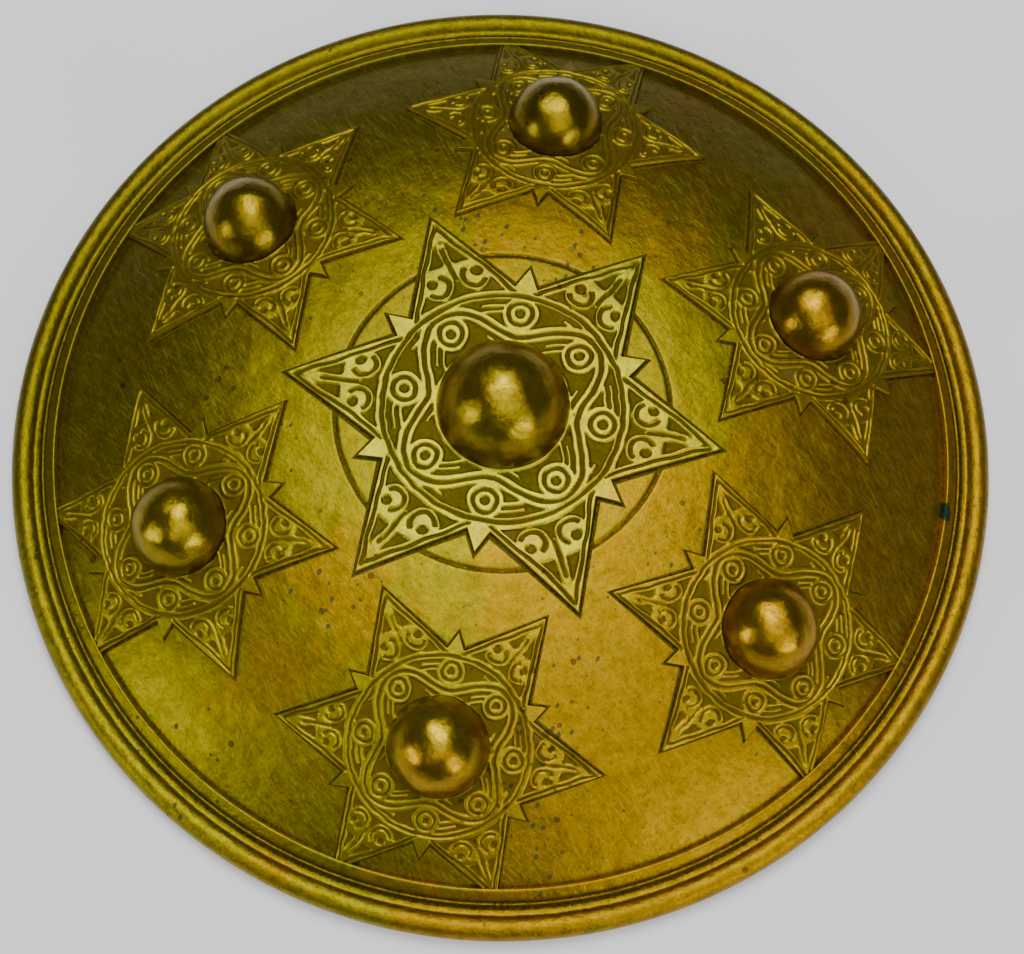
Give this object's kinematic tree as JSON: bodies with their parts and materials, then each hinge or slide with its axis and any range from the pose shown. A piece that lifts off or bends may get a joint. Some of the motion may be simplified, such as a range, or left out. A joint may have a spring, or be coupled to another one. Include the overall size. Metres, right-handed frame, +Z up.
{
  "type": "buckler shield",
  "caption": "Round convex brass buckler with a moulded rim, starred relief and hollow domed bosses, open at the back with strap lugs.",
  "frame": {"origin": "on the floor under the middle of the shield as it lies on its rim", "axes": "+Z up through the crown of the dome, -Y towards the viewer, +X to the viewer's right"},
  "size_m": [0.28, 0.28, 0.055],
  "materials": {
    "brass": "polished old brass, olive gold, darkened in the recesses"
  },
  "bodies": {
    "root": {"shield_casting": "brass"}
  },
  "joints": []
}
